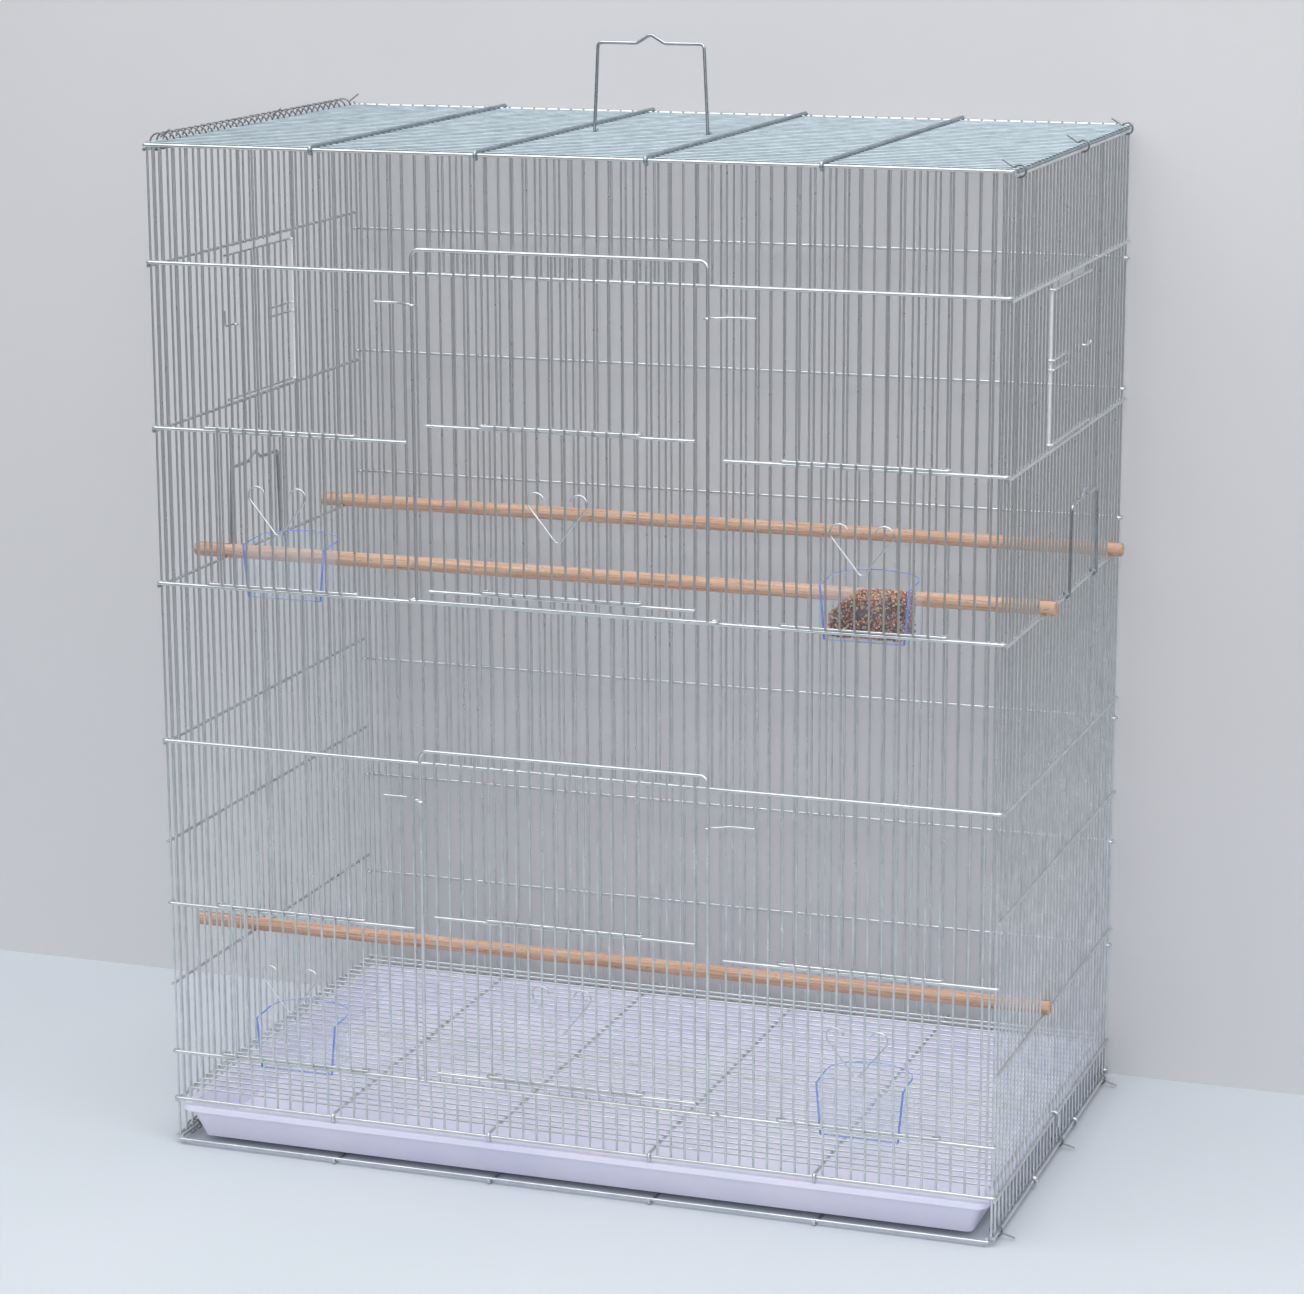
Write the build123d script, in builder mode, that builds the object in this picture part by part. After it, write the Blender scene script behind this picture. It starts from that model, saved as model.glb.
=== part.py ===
"""Wire flight cage for small birds: six wire panels joined at their edges, two lift-up main doors
with a small hatch in each, four feeder doors with clear cups behind them, two nest-box doors,
three carrying handles, three wooden perches, a floor grille and a slide-out tray.

Millimetres. X runs to the right, Y to the back, Z up; the origin is on the floor, at the middle.
"""

import os

from build123d import *

# --- driving sizes ---------------------------------------------------------------------------
cage_width = 762.0  # over the rods of the two side panels
cage_depth = 442.0  # over the rods of the front and back panels
cage_height = 904.0  # floor to the top of the roof rods

wire_d = 2.0  # mesh wires
rod_d = 3.0  # rods that the mesh wires are welded to
cross_d = 2.5  # cross rods of the main doors
thin_d = 1.6  # coils, ring clips and door pulls
mesh_pitch = 12.4  # from one mesh wire to the next

weld_gap = 0.02  # between the solids of two wires that are welded together
hinge_gap = 0.10  # between a wire and the eye that turns on it
slide_gap = 0.35  # between a sliding piece and what it slides past

# heights of the front panel's rods, from the top one down
front_rods = [799.3, 655.9, 518.6, 376.7, 227.0, 88.1]
grille_rod_z = 43.7  # the front panel ends here; the tray slides out below it
side_rod_gap = 0.2  # a side rod passes under the front rod's curled end with this gap
base_cross_gaps = 6.25  # mesh gaps from the middle to the base's inner cross rods
side_low_rods = [283.3, 150.6]
back_rods = [781.0, 662.0, 543.0, 354.0, 235.0, 134.0]
depth_rod_bays = (6, 18)  # mesh gaps from the middle to the rods that run from front to back

main_half_gaps = 10  # mesh wires from the middle to a main door's upright
upper_door_overlap = 21.4  # how far a main door's top stands above the rod over its doorway
lower_door_overlap = 13.5
main_cross_low = 9.0  # above the main door's bottom bar
main_cross_high = 151.0
main_corner_r = 7.0
hatch_half_gaps = 5  # mesh wires from the middle to the wire that the hatch slides on
feeder_edge_gaps = 3  # mesh wires from the end of the front panel to the feeder door
feeder_gaps = 11  # mesh gaps across a feeder door
guide_drop_upper = 25.0  # from the rod above down to the main door's guides
guide_drop_lower = 31.4
pull_rise = 46.0  # from a small door's bottom bar up to the point of its pull

cup_width = 76.0  # across the top
cup_side_lean = 4.0  # each side leans in this much on the way down
cup_flange_width = 97.0
cup_depth = 55.0
cup_height = 46.5
cup_back_rise = 6.0
cup_wall = 2.0
cup_drop = 8.0  # the cup's floor hangs this far below the rod in front of it

tray_side_gap = 7.5  # from the tray's rim to the outside of the side panels
tray_reach = 1.0  # the rim stands this far in front of the front rods
tray_back_gap = 7.0  # from the rim to the outside of the back panel
tray_top_gap = 3.83  # from the rim to the front panel's lowest rod
tray_wall = 2.0
tray_lip = 5.0
tray_taper_ratio = 0.33  # how far the walls lean out for each millimetre of height
tray_corner_r = 6.0

handle_height = 78.0
handle_narrowing = 3.5  # each leg leans in this much
handle_peak = 7.5
handle_play = 5.2  # the feet stand this much wider than eight mesh gaps
right_handle_gaps = 4  # from the middle of the right panel to the handle's middle
left_handle_gaps = -1

nest_half_gaps = 5  # mesh wires from the middle to the nest door's hinge wire and latch wire
grille_hook_tail = 10.0  # the grille's middle rod ends in a hook over each side panel's rod
nest_top_drop = 8.5
nest_bottom_rise = 4.5
latch_reach = 5.0
latch_tab = 14.0

perch_d = 12.7
perch_notch = 2.5
perch_stub = 10.0  # how far a perch stands out past the side rods
upper_front_perch_stub = 31.0  # and past the left ones
upper_rear_perch_stub = 24.0
lower_perch_stub = 60.0
lower_perch_right_stub = 4.0
perch_slot_gap = 0.3
upper_front_perch_wire = -7  # mesh wires of the side panels that the perches' slots sit on
rear_perch_inset = 3  # mesh wires from the last one to the rear perch
lower_perch_wire = -4

clip_tail = 11.0
coil_slack = 3.5  # the upper coil is this much wider than the rods inside it need, and stands up
clip_slack = 1.5

# --- planes that the wires lie in ------------------------------------------------------------
wire_r = wire_d / 2
rod_r = rod_d / 2
rod_y = cage_depth / 2 - rod_r
mesh_y = rod_y - rod_r - weld_gap - wire_r
corner_y = rod_y - rod_r - hinge_gap - wire_r
rod_x = cage_width / 2 - rod_r
mesh_x = rod_x - rod_r - weld_gap - wire_r
corner_loop_r = rod_y - corner_y
upright_x = mesh_x - 5.1  # the front and back panels' own edge uprights

roof_rod_z = cage_height - rod_r
roof_mesh_z = roof_rod_z - rod_r - weld_gap - wire_r
curl_r = rod_d + hinge_gap
front_top_z = roof_rod_z - curl_r
roof_edge_z = roof_mesh_z - wire_r - weld_gap - wire_r
side_top_z = roof_edge_z - wire_r - hinge_gap - rod_r

base_depth_z = rod_r
base_cross_z = base_depth_z + rod_d + weld_gap
base_edge_z = base_cross_z + rod_d + weld_gap
base_edge_x = mesh_x - wire_r - 0.6 - rod_r
side_base_z = base_cross_z + curl_r
back_low_z = base_edge_z + rod_r + slide_gap

grille_depth_z = grille_rod_z + curl_r
grille_mesh_z = grille_depth_z + rod_r + weld_gap + wire_r
grille_cross_z = grille_depth_z - rod_d - weld_gap
side_drop = rod_d + side_rod_gap
side_grille_z = grille_rod_z - side_drop
grille_hook_r = grille_cross_z - side_grille_z
grille_edge_x = mesh_x - wire_r - 1.6 - rod_r

half_front = int((mesh_x - 6) / mesh_pitch + 0.5)
half_side = int((corner_y - 6) / mesh_pitch + 0.5)
upper_rod, second_rod, third_rod, fourth_rod, fifth_rod, sixth_rod = front_rods
side_rods = [z - side_drop for z in front_rods[:4]] + side_low_rods

# doors stand in front of the panel's rods
rod_face_y = rod_y + rod_r
feeder_mesh_y = rod_face_y + slide_gap + wire_r
feeder_bar_y = feeder_mesh_y - wire_d - weld_gap
hatch_loop_r = wire_r + weld_gap + cross_d + slide_gap + wire_r - wire_d - weld_gap + wire_r
main_mesh_y = rod_face_y + slide_gap + hatch_loop_r + wire_r
main_cross_y = main_mesh_y + wire_r + weld_gap + cross_d / 2
main_frame_y = main_mesh_y + wire_r + weld_gap + rod_r
hatch_bar_y = main_mesh_y + hatch_loop_r
hatch_mesh_y = hatch_bar_y + wire_d + weld_gap
door_rest = rod_r + slide_gap + wire_r  # a small door's bar rests this far above a rod
main_rest = rod_r + slide_gap + cross_d / 2
hatch_rest = cross_d / 2 + slide_gap + wire_r


def wire_at(k):
    """The place of mesh wire k: 0 is the first one past the middle, -1 the first one before it."""
    return (k + 0.5) * mesh_pitch


def both_sides(first, last):
    """Mesh wires first to last on each side of the middle."""
    return [side * wire_at(k) for side in (-1, 1) for k in range(first, last + 1)]


# --- wires -----------------------------------------------------------------------------------
def rods_from(plane, spots, diameter, length):
    """Straight round wires, standing on spots of a plane."""
    with BuildSketch(plane) as ends:
        with Locations(*spots):
            Circle(diameter / 2)
    return extrude(ends.sketch, amount=length, mode=Mode.PRIVATE)


def uprights(xs, y, low, high, diameter):
    return rods_from(Plane.XY.offset(low), [(x, y) for x in xs], diameter, high - low)


def side_uprights(x, ys, low, high, diameter):
    return rods_from(Plane.XY.offset(low), [(x, y) for y in ys], diameter, high - low)


def along_x(left, right, y, zs, diameter):
    return rods_from(Plane.YZ.offset(left), [(y, z) for z in zs], diameter, right - left)


def along_x_at(left, right, ys, z, diameter):
    return rods_from(Plane.YZ.offset(left), [(y, z) for y in ys], diameter, right - left)


def along_y(front, back, xs, z, diameter):
    return rods_from(Plane.XZ.offset(-back), [(x, z) for x in xs], diameter, back - front)


def along_y_at(front, back, x, zs, diameter):
    return rods_from(Plane.XZ.offset(-back), [(x, z) for z in zs], diameter, back - front)


def bent_wire(path, diameter):
    """A round wire along a smooth path."""
    with BuildSketch(Plane(origin=path @ 0, z_dir=path % 0)) as end:
        Circle(diameter / 2)
    return sweep(end.sketch, path=path, mode=Mode.PRIVATE)


def curl(plane, centre, radius, start, turn, diameter):
    """A wire bent round something: an arc on a plane."""
    with BuildLine(plane) as bend:
        CenterArc(centre, radius, start, turn)
    return bent_wire(bend.wire(), diameter)


def level_curl(z, centre, radius, start, turn, diameter):
    return curl(Plane.XY.offset(z), centre, radius, start, turn, diameter)


def corner_curls(z, y_side):
    """A front or back rod's two ends, curled round the side panels' corner wires."""
    curls = []
    for x_side in (-1, 1):
        turn = 190 * x_side * -y_side
        curls.append(
            level_curl(z, (x_side * mesh_x, y_side * corner_y), corner_loop_r, 90 * y_side, turn, rod_d)
        )
    return curls


def end_curls(x, y_side, z, centre_z, turn):
    """The end of a rod that runs from front to back, curled round a rod that runs across."""
    above = 1 if z > centre_z else -1
    start = 90 * above
    plane = Plane(origin=(x, 0, 0), x_dir=(0, 1, 0), z_dir=(1, 0, 0))
    return curl(plane, (y_side * rod_y, centre_z), abs(z - centre_z), start, -turn * above * y_side, rod_d)


def depth_rod_xs():
    return [side * bays * mesh_pitch for side in (-1, 1) for bays in depth_rod_bays]


# --- panels ----------------------------------------------------------------------------------
feeder_outer = half_front - 1 - feeder_edge_gaps
feeder_inner = feeder_outer - feeder_gaps
feeder_x = (wire_at(feeder_outer) + wire_at(feeder_inner)) / 2
main_edge = main_half_gaps + 1
doorway_rod_end = wire_at(main_edge) - rod_r

front_low = grille_rod_z - rod_r
front_high = front_top_z + rod_r

with BuildPart() as front_panel:
    whole = both_sides(main_edge, feeder_inner) + both_sides(feeder_outer, half_front - 1)
    cut_main = both_sides(0, main_half_gaps)
    cut_feeder = both_sides(feeder_inner + 1, feeder_outer - 1)
    wires = [
        uprights(whole, -mesh_y, front_low, front_high, wire_d),
        uprights([-upright_x, upright_x], -mesh_y, front_low, front_high, wire_d),
        uprights(cut_main, -mesh_y, upper_rod - rod_r, front_high, wire_d),
        uprights(cut_main, -mesh_y, fourth_rod - rod_r, third_rod + rod_r, wire_d),
        uprights(cut_main, -mesh_y, front_low, sixth_rod + rod_r, wire_d),
        uprights(cut_feeder, -mesh_y, second_rod - rod_r, front_high, wire_d),
        uprights(cut_feeder, -mesh_y, fifth_rod - rod_r, third_rod + rod_r, wire_d),
        uprights(cut_feeder, -mesh_y, front_low, sixth_rod + rod_r, wire_d),
    ]
    through = [front_top_z, upper_rod, third_rod, fourth_rod, sixth_rod, grille_rod_z]
    wires.append(along_x(-mesh_x, mesh_x, -rod_y, through, rod_d))
    for left, right in ((-mesh_x, -doorway_rod_end), (doorway_rod_end, mesh_x)):
        wires.append(along_x(left, right, -rod_y, [second_rod, fifth_rod], rod_d))
    for z in through + [second_rod, fifth_rod]:
        wires += corner_curls(z, -1)
    add(wires)

with BuildPart() as back_panel:
    xs = both_sides(0, half_front - 1) + [-upright_x, upright_x]
    wires = [uprights(xs, mesh_y, back_low_z, front_high, wire_d)]
    back_all = [front_top_z] + back_rods + [back_low_z + rod_r]
    wires.append(along_x(-mesh_x, mesh_x, rod_y, back_all, rod_d))
    for z in back_all:
        wires += corner_curls(z, 1)
    add(wires)

nest_latch_y = wire_at(nest_half_gaps)
nest_hinge_y = -nest_latch_y
nest_high = side_rods[0]
nest_low = side_rods[1]

with BuildPart() as right_side_panel:
    ys = both_sides(0, half_side - 1)
    doorway = [y for y in ys if nest_hinge_y < y < nest_latch_y]
    beside = [y for y in ys if y not in doorway]
    low = side_base_z - rod_r
    high = side_top_z + rod_r
    corner_high = front_top_z + rod_d
    wires = [
        side_uprights(mesh_x, beside, low, high, wire_d),
        side_uprights(mesh_x, [-corner_y, corner_y], low, corner_high, wire_d),
        side_uprights(mesh_x, doorway, nest_high - rod_r, high, wire_d),
        side_uprights(mesh_x, doorway, low, nest_low + rod_r, wire_d),
    ]
    side_all = [side_top_z] + side_rods + [side_grille_z, side_base_z]
    wires.append(along_y_at(-corner_y - wire_r, corner_y + wire_r, rod_x, side_all, rod_d))
    add(wires)

with BuildPart() as left_side_panel:
    add(right_side_panel.part, rotation=(0, 0, 180))

roof_mesh_half = wire_at(half_side - 1)

with BuildPart() as top_panel:
    ys = both_sides(0, half_side - 1)
    edge_end = roof_mesh_half + wire_r
    wires = [
        along_x_at(-rod_x - wire_r, rod_x + wire_r, ys, roof_mesh_z, wire_d),
        along_y(-rod_y, rod_y, depth_rod_xs(), roof_rod_z, rod_d),
        along_y(-edge_end, edge_end, [-rod_x, rod_x], roof_edge_z, wire_d),
    ]
    for x in depth_rod_xs():
        for y_side in (-1, 1):
            wires.append(end_curls(x, y_side, roof_rod_z, front_top_z, 200))
    add(wires)

with BuildPart() as base_panel:
    hooked = [-base_cross_gaps * mesh_pitch, base_cross_gaps * mesh_pitch]
    base_end = base_edge_x + rod_r
    wires = [
        along_y(-rod_y, rod_y, depth_rod_xs(), base_depth_z, rod_d),
        along_x_at(-base_end, base_end, [-rod_y, rod_y], base_cross_z, rod_d),
        along_x_at(-rod_x, rod_x, hooked, base_cross_z, rod_d),
        along_y(-rod_y, rod_y, [-base_edge_x, base_edge_x], base_edge_z, rod_d),
    ]
    for x in depth_rod_xs():
        for y_side in (-1, 1):
            wires.append(end_curls(x, y_side, base_depth_z, base_cross_z, 95))
    for y in hooked:
        for x_side in (-1, 1):
            plane = Plane(origin=(0, y, 0), x_dir=(1, 0, 0), z_dir=(0, -1, 0))
            wires.append(curl(plane, (x_side * rod_x, side_base_z), curl_r, -90, 200 * x_side, rod_d))
    add(wires)

with BuildPart() as floor_grille:
    ys = both_sides(0, half_side - 1)
    edge_end = roof_mesh_half + wire_r
    wires = [
        along_x_at(-grille_edge_x - rod_r, grille_edge_x + rod_r, ys, grille_mesh_z, wire_d),
        along_y(-rod_y, rod_y, depth_rod_xs(), grille_depth_z, rod_d),
        along_y(-edge_end, edge_end, [-grille_edge_x, grille_edge_x], grille_depth_z, rod_d),
        along_x_at(-rod_x, rod_x, [0], grille_cross_z, rod_d),
    ]
    for x in depth_rod_xs():
        wires.append(end_curls(x, -1, grille_depth_z, grille_rod_z, 200))
    for x_side in (-1, 1):
        with BuildLine(Plane.XZ) as hook:
            CenterArc((x_side * rod_x, side_grille_z), grille_hook_r, 90, -90 * x_side)
            Line(hook.edges()[0] @ 1, hook.edges()[0] @ 1 - Vector(0, 0, grille_hook_tail))
        wires.append(bent_wire(hook.wire(), rod_d))
    add(wires)


# --- what joins the panels at their edges ----------------------------------------------------
def ring_round(edge_x, edge_z, edge_r, side_z):
    """The centre and path radius of a ring that holds a panel's edge rod and the side panel's rod."""
    apart = ((rod_x - edge_x) ** 2 + (edge_z - side_z) ** 2) ** 0.5
    inside_r = (apart + edge_r + rod_r) / 2
    share = (inside_r - rod_r) / apart
    centre = (rod_x + share * (edge_x - rod_x), side_z + share * (edge_z - side_z))
    return centre, inside_r + hinge_gap + thin_d / 2


def ring(y, x_side, centre, radius):
    plane = Plane(origin=(x_side * centre[0], y, centre[1]), x_dir=(1, 0, 0), z_dir=(0, -1, 0))
    with BuildPart(plane, mode=Mode.PRIVATE) as one_ring:
        Torus(radius, thin_d / 2)
    return one_ring.part


clip_gaps = (-half_side + 1, 2, half_side - 1)  # mesh gaps from the middle


def coil_turns(centre, radius):
    """A hinge coil along the left edge: one turn in each mesh gap."""
    return [ring(k * mesh_pitch, -1, centre, radius) for k in range(-half_side + 1, half_side)]


def tails(x_side, centre, radius, out, rise):
    """The twisted wire ends of the turns at the front, the middle and the back of an edge."""
    lean = Vector(x_side * out, 0, rise).normalized()
    pieces = []
    for k in clip_gaps:
        hub = Vector(x_side * centre[0], k * mesh_pitch, centre[1])
        start = hub + lean * (radius + thin_d / 2 + weld_gap)
        with BuildLine() as tail:
            Line(start, start + lean * clip_tail)
        pieces.append(bent_wire(tail.wire(), thin_d))
    return pieces


def clips(x_side, centre, radius, out, rise):
    """Ring clips with twisted tails, at the front, the middle and the back of an edge."""
    rings = [ring(k * mesh_pitch, x_side, centre, radius) for k in clip_gaps]
    return rings + tails(x_side, centre, radius, out, rise)


top_joint, top_joint_r = ring_round(rod_x, roof_edge_z, wire_r, side_top_z)
coil_joint = (top_joint[0], top_joint[1] + coil_slack)
clip_joint = (top_joint[0], top_joint[1] + clip_slack)
base_joint, base_joint_r = ring_round(base_edge_x, base_edge_z, rod_r, side_base_z)

with BuildPart() as top_hinge_coil:
    add(coil_turns(coil_joint, top_joint_r + coil_slack))
    add(tails(-1, coil_joint, top_joint_r + coil_slack, -8, 6))
with BuildPart() as base_hinge_coil:
    add(coil_turns(base_joint, base_joint_r))
with BuildPart() as top_edge_clips:
    add(clips(1, clip_joint, top_joint_r + clip_slack, -8, 5))
with BuildPart() as base_edge_clips:
    add(clips(1, base_joint, base_joint_r, 7, -2))


# --- main doors ------------------------------------------------------------------------------
main_stile_x = wire_at(main_half_gaps)
eyelet_r = 3.5
eyelet_x = main_stile_x + 4.3


def door_frame(bottom_z, top_z):
    """A main door's frame: one wire bent round its two sides and its top."""
    foot_z = bottom_z + cross_d / 2 + weld_gap
    with BuildLine(Plane.XZ.offset(main_frame_y)) as frame:
        FilletPolyline(
            (-main_stile_x, foot_z),
            (-main_stile_x, top_z),
            (main_stile_x, top_z),
            (main_stile_x, foot_z),
            radius=main_corner_r,
        )
    return bent_wire(frame.wire(), rod_d)


def main_door(bottom_z, top_z):
    """Mesh wires, two cross rods and a bottom bar with an eyelet at each end."""
    low_cross = bottom_z + main_cross_low
    high_cross = bottom_z + main_cross_high
    hatchway = both_sides(0, hatch_half_gaps - 1)
    beside = both_sides(hatch_half_gaps, main_half_gaps - 1)
    low, high = bottom_z - cross_d / 2, top_z + rod_r
    cross_end = wire_at(main_half_gaps - 1) + wire_r
    pieces = [
        uprights(beside, -main_mesh_y, low, high, wire_d),
        uprights(hatchway, -main_mesh_y, low, low_cross + cross_d / 2, wire_d),
        uprights(hatchway, -main_mesh_y, high_cross - cross_d / 2, high, wire_d),
        along_x(-cross_end, cross_end, -main_cross_y, [low_cross, high_cross], cross_d),
        along_x(-eyelet_x, eyelet_x, -main_cross_y, [bottom_z], cross_d),
    ]
    for x_side in (-1, 1):
        centre = (x_side * eyelet_x, -main_cross_y + eyelet_r)
        pieces.append(level_curl(bottom_z, centre, eyelet_r, -90, 240 * x_side, cross_d))
    return pieces


upper_main_z = third_rod + main_rest
lower_main_z = sixth_rod + main_rest
upper_main_top = upper_rod + upper_door_overlap
lower_main_top = fourth_rod + lower_door_overlap

with BuildPart() as upper_main_door:
    add(main_door(upper_main_z, upper_main_top))
with BuildPart() as lower_main_door:
    add(main_door(lower_main_z, lower_main_top))
with BuildPart() as upper_door_frame:
    add(door_frame(upper_main_z, upper_main_top))
with BuildPart() as lower_door_frame:
    add(door_frame(lower_main_z, lower_main_top))

guide_upper_z = upper_rod - guide_drop_upper
guide_lower_z = fourth_rod - guide_drop_lower
guide_y = mesh_y + wire_r + weld_gap + wire_r
guide_loop_r = rod_r + slide_gap + wire_r


def guide_pair(z):
    """Two wires welded across the panel's mesh, each hooked round a main door's upright."""
    pieces = []
    end_x = wire_at(main_edge + 2) + wire_r
    bend_x = wire_at(main_edge) + 2 * wire_d
    inner_y = -main_frame_y + guide_loop_r
    for x_side in (-1, 1):
        with BuildLine(Plane.XY.offset(z)) as path:
            FilletPolyline(
                (x_side * end_x, -guide_y),
                (x_side * bend_x, -guide_y),
                (x_side * (main_stile_x + 6), inner_y),
                (x_side * main_stile_x, inner_y),
                radius=3,
            )
            CenterArc((x_side * main_stile_x, -main_frame_y), guide_loop_r, 90, 200 * x_side)
        pieces.append(bent_wire(path.wire(), wire_d))
    return pieces


with BuildPart() as upper_door_guides:
    add(guide_pair(guide_upper_z))
with BuildPart() as lower_door_guides:
    add(guide_pair(guide_lower_z))


# --- small doors and their pulls -------------------------------------------------------------
def small_door(middle, half_gaps, mesh, bar, guide, low_bar, high_bar):
    """Mesh wires on two bars, whose ends curl round the wires that the door slides on."""
    inner = [middle + (k + 0.5) * mesh_pitch for k in range(-half_gaps, half_gaps)]
    edge = (half_gaps + 0.5) * mesh_pitch
    pieces = [
        uprights(inner, -mesh, low_bar - wire_r, high_bar + wire_r, wire_d),
        along_x(middle - edge, middle + edge, -bar, [low_bar, high_bar], wire_d),
    ]
    for z in (low_bar, high_bar):
        for x_side in (-1, 1):
            centre = (middle + x_side * edge, -guide)
            pieces.append(level_curl(z, centre, bar - guide, -90, 250 * x_side, wire_d))
    return pieces


def door_pull(middle, mesh, low_bar):
    """A wire bent to an open heart, welded to the front of a small door."""
    plane = Plane(
        origin=(middle, -(mesh + wire_r + weld_gap + thin_d / 2), low_bar + pull_rise),
        x_dir=(1, 0, 0),
        z_dir=(0, -1, 0),
    )
    with BuildLine(plane) as heart:
        arms = FilletPolyline((-25, 31), (0, 0), (25, 31), radius=3)
        JernArc(arms @ 1, arms % 1, 7.5, 205)
        JernArc(arms @ 0, -(arms % 0), 7.5, -205)
    return bent_wire(heart.wire(), thin_d)


def hatch(main_z):
    low_bar = main_z + main_cross_low + hatch_rest
    high_bar = main_z + main_cross_high + hatch_rest
    return small_door(
        0, hatch_half_gaps, hatch_mesh_y, hatch_bar_y, main_mesh_y, low_bar, high_bar
    )


def feeder_door(x_side, low_rod, high_rod):
    return small_door(
        x_side * feeder_x,
        (feeder_gaps - 1) // 2,
        feeder_mesh_y,
        feeder_bar_y,
        mesh_y,
        low_rod + door_rest,
        high_rod + door_rest,
    )


with BuildPart() as upper_hatch:
    add(hatch(upper_main_z))
with BuildPart() as lower_hatch:
    add(hatch(lower_main_z))
with BuildPart() as upper_left_feeder_door:
    add(feeder_door(-1, third_rod, second_rod))
with BuildPart() as upper_right_feeder_door:
    add(feeder_door(1, third_rod, second_rod))
with BuildPart() as lower_left_feeder_door:
    add(feeder_door(-1, sixth_rod, fifth_rod))
with BuildPart() as lower_right_feeder_door:
    add(feeder_door(1, sixth_rod, fifth_rod))

upper_hatch_bar = upper_main_z + main_cross_low + hatch_rest
lower_hatch_bar = lower_main_z + main_cross_low + hatch_rest
upper_feeder_bar = third_rod + door_rest
lower_feeder_bar = sixth_rod + door_rest

with BuildPart() as upper_hatch_pull:
    add(door_pull(0, hatch_mesh_y, upper_hatch_bar))
with BuildPart() as lower_hatch_pull:
    add(door_pull(0, hatch_mesh_y, lower_hatch_bar))
with BuildPart() as upper_left_feeder_pull:
    add(door_pull(-feeder_x, feeder_mesh_y, upper_feeder_bar))
with BuildPart() as upper_right_feeder_pull:
    add(door_pull(feeder_x, feeder_mesh_y, upper_feeder_bar))
with BuildPart() as lower_left_feeder_pull:
    add(door_pull(-feeder_x, feeder_mesh_y, lower_feeder_bar))
with BuildPart() as lower_right_feeder_pull:
    add(door_pull(feeder_x, feeder_mesh_y, lower_feeder_bar))


# --- feeder cups -----------------------------------------------------------------------------
cup_front_y = -(mesh_y - wire_r - slide_gap)
cup_straight = 30.0  # side walls run straight this far before the back rounds off


def cup_plan(base, level, half, inset):
    """The cup's plan at some level: flat front, straight sides, round back."""
    with BuildSketch(base.offset(level)) as plan:
        with BuildLine():
            Polyline((-half, cup_straight), (-half, inset), (half, inset), (half, cup_straight))
            ThreePointArc((half, cup_straight), (0, cup_depth - inset), (-half, cup_straight))
        make_face()
    return plan.sketch


def cup(x_side, rod_z):
    """A moulded cup with a round back; its wide front plate hangs on the cut mesh wires by a lip."""
    base = Plane(origin=(x_side * feeder_x, cup_front_y, rod_z - cup_drop))
    across = Plane(origin=base.origin, x_dir=(0, 1, 0), z_dir=(1, 0, 0))
    tall = cup_height + cup_back_rise
    high_half = cup_width / 2
    low_half = high_half - cup_side_lean
    outside = [cup_plan(base, 0, low_half, 0), cup_plan(base, tall, high_half, 0)]
    inside = [
        cup_plan(base, cup_wall, low_half - cup_wall, cup_wall),
        cup_plan(base, tall, high_half - cup_wall, cup_wall),
    ]
    with BuildPart() as moulding:
        loft(outside)
        loft(inside, mode=Mode.SUBTRACT)
        with BuildSketch(across):
            with BuildLine():
                Polyline(
                    (-1, cup_height),
                    (cup_straight / 2, cup_height),
                    (cup_depth, tall),
                    (cup_depth + 1, tall + 1),
                    (-1, tall + 1),
                    (-1, cup_height),
                )
            make_face()
        extrude(amount=cup_width, both=True, mode=Mode.SUBTRACT)
        lip_z = cup_drop + rod_r + hinge_gap
        with BuildSketch(Plane(origin=base.origin, x_dir=(1, 0, 0), z_dir=(0, -1, 0))):
            with Locations((0, lip_z)):
                Rectangle(cup_flange_width, cup_height - lip_z, align=(Align.CENTER, Align.MIN))
        extrude(amount=-cup_wall)
        with BuildSketch(Plane(origin=base.origin, x_dir=(1, 0, 0), z_dir=(0, -1, 0))):
            with Locations((0, lip_z)):
                Rectangle(cup_width - 10, cup_wall, align=(Align.CENTER, Align.MIN))
        extrude(amount=slide_gap + wire_d)
    return moulding.part


with BuildPart() as upper_left_cup:
    add(cup(-1, third_rod))
with BuildPart() as upper_right_cup:
    add(cup(1, third_rod))
with BuildPart() as lower_left_cup:
    add(cup(-1, sixth_rod))
with BuildPart() as lower_right_cup:
    add(cup(1, sixth_rod))

# --- tray ------------------------------------------------------------------------------------
tray_base_z = base_cross_z + rod_r + slide_gap
tray_top_z = front_low - tray_top_gap
tray_height = tray_top_z - tray_base_z
tray_width = cage_width - 2 * tray_side_gap
tray_front_y = -(cage_depth / 2 + tray_reach)
tray_depth = cage_depth / 2 - tray_back_gap - tray_front_y
tray_middle_y = tray_front_y + tray_depth / 2


def tray_section(z, inset, corner_r):
    """The tray's rounded outline at some height, this far inside the edge of its rim."""
    with BuildSketch(Plane(origin=(0, tray_middle_y, z))) as section:
        RectangleRounded(tray_width - 2 * inset, tray_depth - 2 * inset, corner_r)
    return section.sketch


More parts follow.
